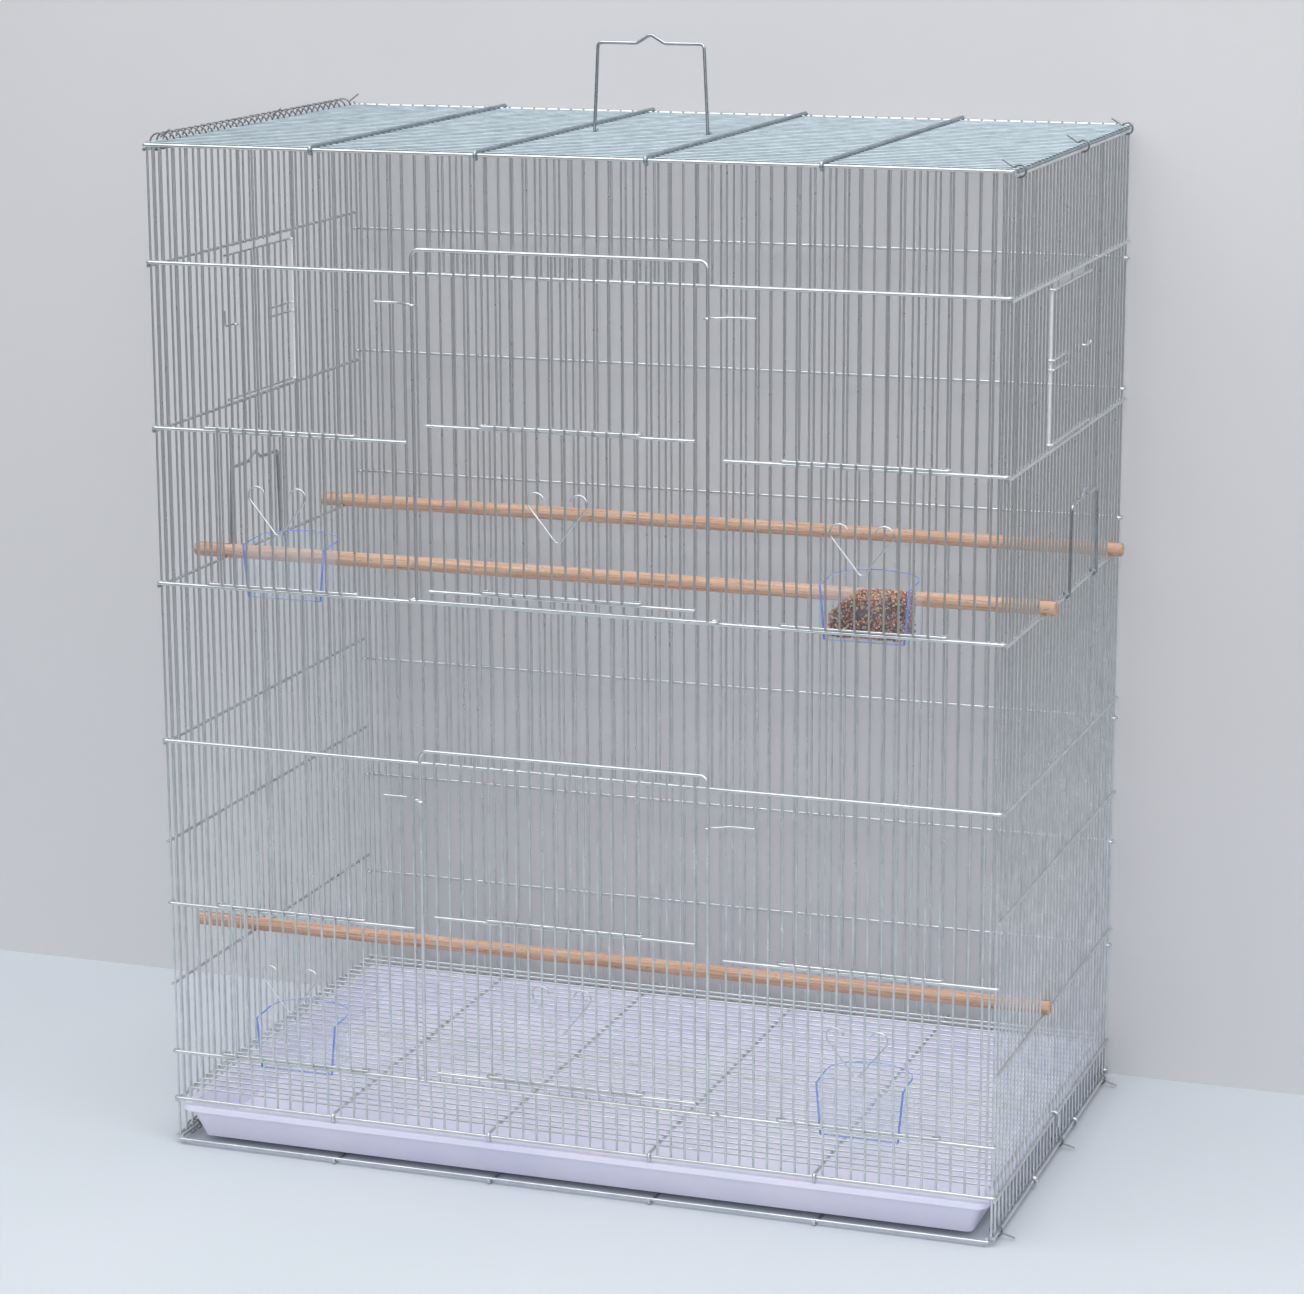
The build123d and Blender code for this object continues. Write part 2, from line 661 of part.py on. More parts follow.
with BuildPart() as tray:
    floor_inset = tray_lip + tray_height * tray_taper_ratio
    inner_inset = tray_lip + tray_wall
    inner_floor = floor_inset + tray_wall
    outer_r = tray_corner_r + tray_lip
    extrude(tray_section(tray_top_z - tray_lip, 0, outer_r), amount=tray_lip)
    rim_hollow = tray_section(tray_top_z - tray_lip, tray_wall, outer_r - tray_wall)
    extrude(rim_hollow, amount=tray_lip - tray_wall, mode=Mode.SUBTRACT)
    outside = [
        tray_section(tray_base_z, floor_inset, tray_corner_r),
        tray_section(tray_top_z, tray_lip, tray_corner_r),
    ]
    loft(outside)
    inside = [
        tray_section(tray_base_z + tray_wall, inner_floor, tray_corner_r - tray_wall),
        tray_section(tray_top_z, inner_inset, tray_corner_r - tray_wall),
    ]
    loft(inside, mode=Mode.SUBTRACT)

# --- handles ---------------------------------------------------------------------------------
handle_half = (8 * mesh_pitch + handle_play) / 2
handle_eye_turn = 245  # degrees that each foot bends round its rod


def bail(plane, loop_r):
    """A wire bail on a plane whose y runs up the handle; the pivot is loop_r behind the plane."""
    top_half = handle_half - handle_narrowing
    with BuildLine(plane) as bow:
        FilletPolyline(
            (-handle_half, 0),
            (-handle_half, 5),
            (-top_half, handle_height),
            (-13, handle_height),
            (0, handle_height + handle_peak),
            (13, handle_height),
            (top_half, handle_height),
            (handle_half, 5),
            (handle_half, 0),
            radius=4,
        )
    eyes = []
    for side in (-1, 1):
        foot = plane.origin + plane.x_dir * (side * handle_half)
        pivot = Plane(origin=foot - plane.z_dir * loop_r, x_dir=plane.z_dir, z_dir=plane.x_dir)
        with BuildLine(pivot) as eye:
            CenterArc((0, 0), loop_r, 0, handle_eye_turn)
        eyes += eye.edges()
    return bent_wire(Wire(bow.edges() + eyes), rod_d)


top_pivot_y = wire_at(0)
top_loop_r = wire_r + hinge_gap + rod_r
side_loop_r = rod_r + hinge_gap + rod_r
side_pivot_z = side_rods[2]

with BuildPart() as top_handle:
    add(
        bail(
            Plane(origin=(0, top_pivot_y - top_loop_r, roof_mesh_z), x_dir=(1, 0, 0), z_dir=(0, -1, 0)),
            top_loop_r,
        )
    )
with BuildPart() as right_side_handle:
    middle = right_handle_gaps * mesh_pitch
    add(
        bail(
            Plane(origin=(rod_x + side_loop_r, middle, side_pivot_z), x_dir=(0, 1, 0), z_dir=(1, 0, 0)),
            side_loop_r,
        )
    )
with BuildPart() as left_side_handle:
    middle = left_handle_gaps * mesh_pitch
    add(
        bail(
            Plane(origin=(-rod_x - side_loop_r, middle, side_pivot_z), x_dir=(0, -1, 0), z_dir=(-1, 0, 0)),
            side_loop_r,
        )
    )

# --- nest-box doors --------------------------------------------------------------------------
nest_loop_r = wire_r + hinge_gap + wire_r
nest_bar_x = mesh_x + nest_loop_r
nest_bar_zs = [nest_low + nest_bottom_rise, (nest_low + nest_high) / 2, nest_high - nest_top_drop]

with BuildPart() as right_nest_door:
    wires = [
        side_uprights(mesh_x, doorway, nest_bar_zs[0] - wire_r, nest_bar_zs[2] + wire_r, wire_d),
        along_y_at(nest_hinge_y, nest_latch_y + wire_d, nest_bar_x, [nest_bar_zs[0], nest_bar_zs[2]], wire_d),
        along_y_at(nest_hinge_y, doorway[1], nest_bar_x, [nest_bar_zs[1] - 4, nest_bar_zs[1] + 4], wire_d),
    ]
    for z in (nest_bar_zs[0], nest_bar_zs[1] - 4, nest_bar_zs[1] + 4, nest_bar_zs[2]):
        wires.append(level_curl(z, (mesh_x, nest_hinge_y), nest_loop_r, 0, -250, wire_d))
    add(wires)

latch_y = doorway[-1]
latch_z = nest_bar_zs[1]

with BuildPart() as right_nest_latch:
    with BuildLine(Plane(origin=(nest_bar_x, 0, latch_z), x_dir=(0, 1, 0), z_dir=(1, 0, 0))) as path:
        FilletPolyline(
            (latch_y, 0),
            (nest_latch_y + latch_reach, 0),
            (nest_latch_y + latch_reach, latch_tab),
            radius=2.5,
        )
    wires = [bent_wire(path.wire(), wire_d)]
    wires.append(level_curl(latch_z, (mesh_x, latch_y), nest_loop_r, 0, -250, wire_d))
    add(wires)

with BuildPart() as left_nest_door:
    add(right_nest_door.part, rotation=(0, 0, 180))
with BuildPart() as left_nest_latch:
    add(right_nest_latch.part, rotation=(0, 0, 180))


# --- perches ---------------------------------------------------------------------------------
def perch(wire, rod_z, left_stub, right_stub):
    """A dowel notched over the side rods, each end slotted round one mesh wire."""
    y = wire_at(wire)
    z = rod_z + rod_r + perch_d / 2 - perch_notch
    left = -rod_x - left_stub
    right = rod_x + right_stub
    slot_in = mesh_x - wire_r - perch_slot_gap
    with BuildPart() as dowel:
        with BuildSketch(Plane(origin=(left, y, z), x_dir=(0, 1, 0), z_dir=(1, 0, 0))):
            Circle(perch_d / 2)
        extrude(amount=right - left)
        chamfer(dowel.edges().filter_by(GeomType.CIRCLE), 0.8)
        for start, finish in ((left - 1, -slot_in), (slot_in, right + 1)):
            with Locations(((start + finish) / 2, y, z)):
                Box(finish - start, wire_d + 2 * perch_slot_gap, perch_d + 2, mode=Mode.SUBTRACT)
        with BuildSketch(Plane.XZ.offset(-y - perch_d)):
            with Locations((-rod_x, rod_z), (rod_x, rod_z)):
                Circle(rod_r + hinge_gap)
                Rectangle(rod_d + 2 * hinge_gap, perch_d, align=(Align.CENTER, Align.MAX))
        extrude(amount=2 * perch_d, mode=Mode.SUBTRACT)
    return dowel.part


with BuildPart() as upper_front_perch:
    add(perch(upper_front_perch_wire, side_rods[2], upper_front_perch_stub, perch_stub))
with BuildPart() as upper_rear_perch:
    add(perch(half_side - rear_perch_inset, side_rods[2], upper_rear_perch_stub, perch_stub))
with BuildPart() as lower_perch:
    add(perch(lower_perch_wire, side_rods[5], lower_perch_stub, lower_perch_right_stub))

# --- the finished pieces ---------------------------------------------------------------------
pieces = {
    "front_panel": front_panel,
    "back_panel": back_panel,
    "left_side_panel": left_side_panel,
    "right_side_panel": right_side_panel,
    "top_panel": top_panel,
    "base_panel": base_panel,
    "floor_grille": floor_grille,
    "top_hinge_coil": top_hinge_coil,
    "base_hinge_coil": base_hinge_coil,
    "top_edge_clips": top_edge_clips,
    "base_edge_clips": base_edge_clips,
    "upper_door_guides": upper_door_guides,
    "lower_door_guides": lower_door_guides,
    "upper_main_door": upper_main_door,
    "lower_main_door": lower_main_door,
    "upper_door_frame": upper_door_frame,
    "lower_door_frame": lower_door_frame,
    "upper_hatch": upper_hatch,
    "lower_hatch": lower_hatch,
    "upper_left_feeder_door": upper_left_feeder_door,
    "upper_right_feeder_door": upper_right_feeder_door,
    "lower_left_feeder_door": lower_left_feeder_door,
    "lower_right_feeder_door": lower_right_feeder_door,
    "upper_hatch_pull": upper_hatch_pull,
    "lower_hatch_pull": lower_hatch_pull,
    "upper_left_feeder_pull": upper_left_feeder_pull,
    "upper_right_feeder_pull": upper_right_feeder_pull,
    "lower_left_feeder_pull": lower_left_feeder_pull,
    "lower_right_feeder_pull": lower_right_feeder_pull,
    "upper_left_cup": upper_left_cup,
    "upper_right_cup": upper_right_cup,
    "lower_left_cup": lower_left_cup,
    "lower_right_cup": lower_right_cup,
    "tray": tray,
    "top_handle": top_handle,
    "left_side_handle": left_side_handle,
    "right_side_handle": right_side_handle,
    "left_nest_door": left_nest_door,
    "right_nest_door": right_nest_door,
    "left_nest_latch": left_nest_latch,
    "right_nest_latch": right_nest_latch,
    "upper_front_perch": upper_front_perch,
    "upper_rear_perch": upper_rear_perch,
    "lower_perch": lower_perch,
}

os.makedirs("parts", exist_ok=True)
for name, piece in pieces.items():
    piece.part.label = name
    export_step(piece.part, f"parts/{name}.step")
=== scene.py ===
# %% [markdown]
# # A wire flight cage
# The cage is nearly all wire: six panels of upright wires welded to thicker rods, doors made the
# same way, two hinge coils, three handles. Its only other pieces are three wooden perches, four
# clear cups and a plastic tray. The model loads with every piece in its place, in metres, so what
# is left is the finish of each material and the few shapes that are better drawn here.

import math
import random

import bmesh
import bpy
from mathutils import Matrix, Vector


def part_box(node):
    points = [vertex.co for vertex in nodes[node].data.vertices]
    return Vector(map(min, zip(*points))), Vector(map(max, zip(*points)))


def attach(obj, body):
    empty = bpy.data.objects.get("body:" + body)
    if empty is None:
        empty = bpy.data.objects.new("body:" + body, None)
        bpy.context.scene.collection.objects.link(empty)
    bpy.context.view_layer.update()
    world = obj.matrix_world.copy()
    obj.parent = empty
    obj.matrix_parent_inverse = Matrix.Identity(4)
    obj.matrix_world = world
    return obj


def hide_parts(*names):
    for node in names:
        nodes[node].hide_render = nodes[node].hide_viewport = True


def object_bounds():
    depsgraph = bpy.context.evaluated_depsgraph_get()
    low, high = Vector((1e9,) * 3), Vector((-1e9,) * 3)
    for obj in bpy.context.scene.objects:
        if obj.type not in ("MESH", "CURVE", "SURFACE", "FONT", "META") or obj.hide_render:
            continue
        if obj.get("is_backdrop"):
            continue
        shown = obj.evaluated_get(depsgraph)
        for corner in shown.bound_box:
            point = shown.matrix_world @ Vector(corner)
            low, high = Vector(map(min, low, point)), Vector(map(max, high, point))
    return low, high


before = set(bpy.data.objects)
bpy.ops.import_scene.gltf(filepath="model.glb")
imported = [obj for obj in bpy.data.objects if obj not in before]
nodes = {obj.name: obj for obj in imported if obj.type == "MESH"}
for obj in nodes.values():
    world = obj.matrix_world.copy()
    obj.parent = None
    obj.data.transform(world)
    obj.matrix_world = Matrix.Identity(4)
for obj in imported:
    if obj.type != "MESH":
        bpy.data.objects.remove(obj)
cad_low, cad_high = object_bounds()
print("cage from", [round(v, 3) for v in cad_low], "to", [round(v, 3) for v in cad_high])

# %% [markdown]
# ## Camera
# The picture of a tall box looks right only when the camera stands where a person would: about
# three metres away, a little to the right, and high enough to see the roof. The long lens keeps
# the upright wires nearly parallel.

# %% Camera
MM = 0.001
CAMERA_PLACE = (1.0710, -3.0321, 1.1871)
CAMERA_FORWARD = (-0.3243, 0.9186, -0.2260)
CAMERA_RIGHT = (0.9432, 0.3322, -0.0031)
LENS_MM = 101.3


def aim(place, forward, right):
    """The matrix of a camera that looks along forward, with right to its right."""
    forward, right = Vector(forward).normalized(), Vector(right).normalized()
    up = right.cross(forward)
    turned = Matrix((right, up, -forward)).transposed().to_4x4()
    return Matrix.Translation(place) @ turned


camera_data = bpy.data.cameras.new("camera")
camera_data.sensor_width = 36
camera_data.lens = LENS_MM
camera = bpy.data.objects.new("camera", camera_data)
bpy.context.scene.collection.objects.link(camera)
camera.matrix_world = aim(CAMERA_PLACE, CAMERA_FORWARD, CAMERA_RIGHT)
bpy.context.scene.camera = camera
print("camera", round(camera.location.length, 2), "m from the cage's foot")

# %% [markdown]
# ## Helpers
# Colours are written as they are picked on a screen, in sRGB, and one function turns them to the
# linear numbers that shaders use.

# %% Colours


def linear(hex_colour):
    """An sRGB colour such as #d0d4da as linear RGBA."""
    channels = [int(hex_colour[i : i + 2], 16) / 255 for i in (1, 3, 5)]
    bent = [c / 12.92 if c <= 0.04045 else ((c + 0.055) / 1.055) ** 2.4 for c in channels]
    return (*bent, 1.0)


print("half-bright grey is", round(linear("#808080")[0], 3), "of full light")

# %% [markdown]
# Another function adds a node with its settings and its links in one line, so that each material
# below reads as a list of what it is made of.

# %% Nodes and materials


def add_node(material, kind, links=None, **settings):
    """Adds a node. Settings are sockets by name, or the node's own properties; links are sockets."""
    tree = material.node_tree
    node = tree.nodes.new(kind)
    for name, value in settings.items():
        if hasattr(node, name):
            setattr(node, name, value)
    for name, value in settings.items():
        if not hasattr(node, name):
            node.inputs[name.replace("_", " ")].default_value = value
    for name, source in (links or {}).items():
        tree.links.new(source, node.inputs[name])
    return node


def new_material(name, **settings):
    """A material with one Principled shader, and that shader."""
    material = bpy.data.materials.new(name)
    material.use_nodes = True
    shader = material.node_tree.nodes["Principled BSDF"]
    for socket, value in settings.items():
        shader.inputs[socket.replace("_", " ")].default_value = value
    return material, shader


def colour_steps(ramp, *steps):
    """Sets a colour ramp's stops: pairs of position and colour."""
    stops = ramp.color_ramp.elements
    while len(stops) < len(steps):
        stops.new(0.5)
    for stop, (position, colour) in zip(stops, steps):
        stop.position = position
        stop.color = linear(colour)
    return ramp.outputs["Color"]


def dress(material, *names):
    """Gives the cage's own pieces their material."""
    for name in names:
        node = nodes[name]
        node.data.materials.clear()
        node.data.materials.append(material)


# %% [markdown]
# Most surfaces here vary in the same way: a noise of one real size, turned to a range of colours.
# The noise is read from the piece's own coordinates, so it stays with a piece that moves.

# %% A noise on the piece's own coordinates


def own_noise(material, size, **settings):
    """A noise with spots of a size in metres."""
    place = add_node(material, "ShaderNodeTexCoord").outputs["Object"]
    return add_node(material, "ShaderNodeTexNoise", {"Vector": place}, Scale=1 / size, **settings)


def noise_colours(material, noise, *steps):
    """The colour ramp that a noise runs through."""
    ramp = add_node(material, "ShaderNodeValToRGB", {"Fac": noise.outputs["Fac"]})
    return colour_steps(ramp, *steps)


# %% [markdown]
# ## Galvanised wire
# The wire is mild steel, drawn and then coated with zinc. New zinc is a pale grey metal, and its
# crystals and the drawing marks blur what it reflects. The roof's wire is a darker and rougher copy,
# its darkness painted shade that keeps it from shining too bright under the lamp overhead, and the
# coils and clips are a darker spring steel. A soft cloud of lighter and duller stretches, a
# centimetre or two long, keeps a hundred equal wires from looking like plastic.

# %% Galvanised wire
ZINC_SPOT = 16 * MM
print("zinc spots", round(1000 * ZINC_SPOT), "mm")


def zinc_wire(name, light, dull, smooth, rough):
    """A zinc coat between two tints, and between two roughnesses."""
    material, shader = new_material(name, Metallic=1.0)
    cloud = own_noise(material, ZINC_SPOT, Detail=3.0, Roughness=0.6)
    tint = noise_colours(material, cloud, (0.3, dull), (0.7, light))
    gloss = add_node(
        material,
        "ShaderNodeMapRange",
        {"Value": cloud.outputs["Fac"]},
        From_Min=0.3,
        From_Max=0.7,
        To_Min=rough,
        To_Max=smooth,
    )
    links = material.node_tree.links
    links.new(tint, shader.inputs["Base Color"])
    links.new(gloss.outputs["Result"], shader.inputs["Roughness"])
    return material


# %% [markdown]
# One function makes all the finishes of wire, and a piece is dressed by name. Roof, clips and
# handles have a finish of their own, the roof's darkened as painted shade, and every other wire is
# plain zinc.

# %% Wire finishes
ZINC_LOOK = ("#e3e6e7", "#ccd0d1", 0.26, 0.40)
zinc = zinc_wire("galvanised_wire", *ZINC_LOOK)
# The roof's zinc is a darker copy: its darkness is painted shade against the lamp overhead.
shaded_roof_zinc = zinc_wire("painted_shade_roof_wire", "#b1bdc3", "#98a5ac", 0.34, 0.48)
coil_steel = zinc_wire("spring_coil_wire", "#9c9fa2", "#7f8285", 0.30, 0.44)
bright = zinc_wire("bright_plated_wire", "#c9cdd2", "#aab0b6", 0.18, 0.30)

wire_words = ("panel", "door", "hatch", "nest", "grille", "pull")
wire_nodes = [n for n in nodes if any(word in n for word in wire_words)]
dress(zinc, *wire_nodes)
dress(bright, "top_handle", "left_side_handle", "right_side_handle")
dress(shaded_roof_zinc, "top_panel")
dress(coil_steel, "top_edge_clips", "base_edge_clips")
print(len(wire_nodes), "wire pieces")

# %% [markdown]
# The wire that a nest-box door turns on is painted nearly white, a painted highlight along the
# hinge. It is marked out by its place: three comparisons, one to each axis, multiplied together.

# %% Painted highlight on the hinge wires
EYE_REACH = 3.1 * MM
WIRE_WIDTH = 2 * MM
HINGE_SPREAD = 8 * MM
# The near-white of the painted highlight on a nest door's hinge wire.
HIGHLIGHT_WHITE = "#fbfcfc"


def near(material, value, middle, reach):
    """1 where the value is within reach of the middle, otherwise 0."""
    test = add_node(material, "ShaderNodeMath", {0: value}, operation="COMPARE")
    test.inputs[1].default_value = middle
    test.inputs[2].default_value = reach
    return test.outputs[0]


def paint_hinge_highlight(material, door, side):
    """Paints a highlight on the wire at the hinged end of a nest-box door."""
    low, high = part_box(door)
    hinge_y = low[1] + EYE_REACH if side > 0 else high[1] - EYE_REACH
    place = add_node(material, "ShaderNodeTexCoord").outputs["Object"]
    split = add_node(material, "ShaderNodeSeparateXYZ", {"Vector": place})
    tests = [
        near(material, split.outputs["X"], high[0] if side > 0 else low[0], HINGE_SPREAD),
        near(material, split.outputs["Y"], hinge_y, 0.9 * WIRE_WIDTH),
        near(material, split.outputs["Z"], (low[2] + high[2]) / 2, (high[2] - low[2]) / 2),
    ]
    both = add_node(material, "ShaderNodeMath", {0: tests[0], 1: tests[1]}, operation="MULTIPLY")
    highlight_mask = add_node(material, "ShaderNodeMath", {0: both.outputs[0], 1: tests[2]}, operation="MULTIPLY")
    shader = material.node_tree.nodes["Principled BSDF"]
    zinc_tint = shader.inputs["Base Color"].links[0].from_socket
    # The painted highlight: near-white, and not metal, where the mask is.
    mix = add_node(material, "ShaderNodeMix", {0: highlight_mask.outputs[0], 6: zinc_tint}, data_type="RGBA")
    mix.inputs[7].default_value = linear(HIGHLIGHT_WHITE)
    highlight_metal = add_node(
        material, "ShaderNodeMapRange", {"Value": highlight_mask.outputs[0]}, To_Min=1.0, To_Max=0.15
    )
    material.node_tree.links.new(mix.outputs[2], shader.inputs["Base Color"])
    material.node_tree.links.new(highlight_metal.outputs["Result"], shader.inputs["Metallic"])


for side, word in ((-1, "left"), (1, "right")):
    # A zinc with the painted hinge highlight, for each nest door and its side panel.
    highlit_zinc = zinc_wire(word + "_painted_hinge_wire", *ZINC_LOOK)
    paint_hinge_highlight(highlit_zinc, word + "_nest_door", side)
    dress(highlit_zinc, word + "_nest_door", word + "_side_panel")
    print(highlit_zinc.name, "on the", word, "door and panel")

# %% [markdown]
# ## Hinge coils
# Roof and base are laced to the left side panel by a long coil that winds round both edge rods.
# A coil is a circle swept round an axis while it moves along it, which is what the spin operator
# does when it is given a step to move by. The cage comes with a row of plain rings there, so one
# ring gives the coil its middle and its width.

# %% Hinge coils
MESH_PITCH = 12.4 * MM
COIL_WIRE = 0.8 * MM
COIL_STEPS = 14
COIL_TURNS = 32


def finish_mesh(shape, name, smooth=True):
    """Turns a bmesh into an object at the origin."""
    mesh = bpy.data.meshes.new(name)
    shape.to_mesh(mesh)
    shape.free()
    for face in mesh.polygons:
        face.use_smooth = smooth
    piece = bpy.data.objects.new(name, mesh)
    bpy.context.scene.collection.objects.link(piece)
    return piece


def wind(shape, reach, wire, advance, turns, steps_per_turn, start_angle=0.0):
    """Winds a wire round the Y axis, from the origin on, and gives back its vertices."""
    old = set(shape.verts)
    ring = bmesh.ops.create_circle(shape, radius=wire, segments=7)["verts"]
    bmesh.ops.translate(shape, verts=ring, vec=(reach, 0, 0))
    bmesh.ops.rotate(shape, verts=ring, cent=(0, 0, 0), matrix=Matrix.Rotation(start_angle, 3, "Y"))
    edges = [e for e in shape.edges if e.verts[0] in ring]
    bmesh.ops.spin(
        shape,
        geom=ring + edges,
        axis=(0, 1, 0),
        dvec=(0, advance / steps_per_turn, 0),
        angle=2 * math.pi * turns,
        steps=round(turns * steps_per_turn),
    )
    bmesh.ops.holes_fill(shape, edges=[e for e in shape.edges if e.is_boundary], sides=8)
    bmesh.ops.recalc_face_normals(shape, faces=shape.faces[:])
    return [v for v in shape.verts if v not in old]


# %% [markdown]
# Each turn of the coil stands where one ring stood. Its middle and its width come from the ring
# at the middle of the row, and the coil starts half its length before that.

# %% One coil from a row of rings


def middle_ring(node):
    """The centre and the outer radius of the ring that stands at the middle of a row."""
    ring = [v.co for v in nodes[node].data.vertices if abs(v.co.y) < MESH_PITCH / 4]
    xs, zs = [c.x for c in ring], [c.z for c in ring]
    centre = Vector(((min(xs) + max(xs)) / 2, 0, (min(zs) + max(zs)) / 2))
    return centre, (max(xs) - min(xs)) / 2


def hinge_coil(centre, outside):
    """A coil with one turn in each mesh gap, where the row of rings is."""
    shape = bmesh.new()
    wire = wind(shape, outside - COIL_WIRE, COIL_WIRE, MESH_PITCH, COIL_TURNS, COIL_STEPS)
    start = centre - Vector((0, COIL_TURNS * MESH_PITCH / 2, 0))
    bmesh.ops.translate(shape, verts=wire, vec=start)
    return shape


# %% [markdown]
# The upper coil is tied at both ends and near its middle, and each tie is twisted and leans in
# over the roof like a small tuft: two strands wound round each other.

# %% Twisted ends
TUFT_LENGTH = 11 * MM
STRAND = 0.42 * MM
STRAND_PITCH = 3.5 * MM
STRAND_STEPS = 8
TUFT_LEAN = Vector((8, 0, 6)).normalized()


def tuft(shape, foot, lean):
    """Two strands twisted together, from foot along lean."""
    turned = Vector((0, 1, 0)).rotation_difference(lean).to_matrix().to_4x4()
    turns = TUFT_LENGTH / STRAND_PITCH
    for strand in (0, math.pi):
        wire = wind(shape, STRAND, STRAND, STRAND_PITCH, turns, STRAND_STEPS, strand)
        bmesh.ops.transform(shape, verts=wire, matrix=Matrix.Translation(foot) @ turned)


def ride_as_coil(shape, name, node):
    """Puts a coil on the cage in place of the row of rings."""
    piece = finish_mesh(shape, name)
    piece.data.materials.append(coil_steel)
    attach(piece, "cage")
    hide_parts(node)
    print(name, len(piece.data.polygons), "faces")


for node in ("top_hinge_coil", "base_hinge_coil"):
    low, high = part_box(node)
    centre, outside = middle_ring(node)
    shape = hinge_coil(centre, outside)
    if node == "top_hinge_coil":
        for y in (low[1] + COIL_WIRE, 2 * MESH_PITCH, high[1] - COIL_WIRE):
            tuft(shape, Vector((centre.x, y, centre.z)) + TUFT_LEAN * outside, TUFT_LEAN)
    ride_as_coil(shape, node.replace("hinge_coil", "coil"), node)

# %% [markdown]
# ## Perches
# The perches are turned beech dowels, left bare. Beech is a pinkish tan, with fine straight grain
# along the dowel and short dark flecks. A noise that is stretched along the dowel gives the
# grain, and a second, shorter one gives the flecks.

# %% Perches
GRAIN_WIDTH = 1.2 * MM
GRAIN_LENGTH = 60 * MM
FLECK_WIDTH = 0.9 * MM
FLECK_LENGTH = 5 * MM
GRAIN_RELIEF = 0.2 * MM


def lengthwise_noise(material, place, length, width, **settings):
    """A noise drawn out along X, as grain is."""
    scale = (1 / length, 1 / width, 1 / width)
    drawn = add_node(material, "ShaderNodeMapping", {"Vector": place}, Scale=scale)
    source = {"Vector": drawn.outputs["Vector"]}
    return add_node(material, "ShaderNodeTexNoise", source, Scale=1.0, **settings)


def dowel_wood():
    """Bare beech: grain, flecks over it, and a little relief."""
    material, shader = new_material("bare_beech", Roughness=0.62, IOR=1.45)
    place = add_node(material, "ShaderNodeTexCoord").outputs["Object"]
    grain = lengthwise_noise(
        material, place, GRAIN_LENGTH, GRAIN_WIDTH, Detail=4.0, Distortion=0.4
    )
    fleck = lengthwise_noise(material, place, FLECK_LENGTH, FLECK_WIDTH, Detail=2.0)
    wood = noise_colours(material, grain, (0.28, "#b48c74"), (0.5, "#cfaa92"), (0.72, "#e0c2ac"))
    marks = noise_colours(material, fleck, (0.62, "#ffffff"), (0.72, "#c39c84"))
    mix = add_node(
        material, "ShaderNodeMix", {6: wood, 7: marks}, data_type="RGBA", blend_type="MULTIPLY"
    )
    mix.inputs[0].default_value = 0.8
    relief = add_node(
        material,
        "ShaderNodeBump",
        {"Height": grain.outputs["Fac"]},
        Strength=0.25,
        Distance=GRAIN_RELIEF,
    )
    links = material.node_tree.links
    links.new(mix.outputs[2], shader.inputs["Base Color"])
    links.new(relief.outputs["Normal"], shader.inputs["Normal"])
    return material


perch_names = ["upper_front_perch", "upper_rear_perch", "lower_perch"]
dress(dowel_wood(), *perch_names)
print(len(perch_names), "perches in beech")

# %% [markdown]
# ## Tray
# The tray is vacuum-formed or moulded from white polystyrene with a faint lilac tone. It is half
# glossy, and where it is thin a little light gets through, so it never looks quite opaque.

# %% Tray
SHEET_CLOUD = 90 * MM
MOULD_GRIT = 1.5 * MM
GRIT_RELIEF = 0.1 * MM


def moulded_white():
    """White polystyrene: a faint cloud, and a grit from the mould."""
    material, shader = new_material(
        "moulded_polystyrene",
        Roughness=0.34,
        IOR=1.59,
        Subsurface_Weight=0.15,
        Subsurface_Scale=4 * MM,
    )
    cloud = own_noise(material, SHEET_CLOUD, Detail=2.0)
    tint = noise_colours(material, cloud, (0.3, "#e4e4fa"), (0.7, "#efedff"))
    grit = own_noise(material, MOULD_GRIT, Detail=2.0)
    relief = add_node(
        material,
        "ShaderNodeBump",
        {"Height": grit.outputs["Fac"]},
        Strength=0.06,
        Distance=GRIT_RELIEF,
    )
    links = material.node_tree.links
    links.new(tint, shader.inputs["Base Color"])
    links.new(relief.outputs["Normal"], shader.inputs["Normal"])
    return material


dress(moulded_white(), "tray")
print("tray in moulded polystyrene")

# %% [markdown]
# ## Cups
# The cups are injection-moulded from clear polystyrene. Clear plastic is nearly invisible face
# on, but looking into a moulded edge the eye sees through centimetres of it, and this one has a
# blue tint there. So the body is almost clear, and thin blue bars stand for the light that the
# edges gather: up the two front corners, round the rim and under the front.

# %% Clear plastic and its blue edge
CLEAR_CLOUD = 20 * MM
BLUE_CLOUD = 14 * MM


def clear_plastic():
    """Clear polystyrene with a very faint haze."""
    material, shader = new_material("clear_polystyrene", Roughness=0.06, IOR=1.59)
    cloud = own_noise(material, CLEAR_CLOUD, Detail=3.0)
    tint = noise_colours(material, cloud, (0.3, "#cfd9ec"), (0.7, "#e6ebf5"))
    haze = add_node(
        material, "ShaderNodeMapRange", {"Value": cloud.outputs["Fac"]}, To_Min=0.05, To_Max=0.13
    )
    links = material.node_tree.links
    links.new(tint, shader.inputs["Base Color"])
    links.new(haze.outputs["Result"], shader.inputs["Alpha"])
    return material


def blue_edge():
    """The light blue that the edges gather."""
    material, shader = new_material("blue_tinted_edge", Roughness=0.15, IOR=1.59)
    cloud = own_noise(material, BLUE_CLOUD, Detail=2.0)
    tint = noise_colours(material, cloud, (0.35, "#6b8ce8"), (0.65, "#94adf4"))
    material.node_tree.links.new(tint, shader.inputs["Base Color"])
    return material


cup_names = ["upper_left_cup", "upper_right_cup", "lower_left_cup", "lower_right_cup"]
dress(clear_plastic(), *cup_names)
print(len(cup_names), "cups in clear plastic")

# %% [markdown]
# The lines are bars laid end to end. A cup narrows on its way down, its sides run straight back
# for 30 mm, and from there the rim is half an ellipse that climbs a little to the back.

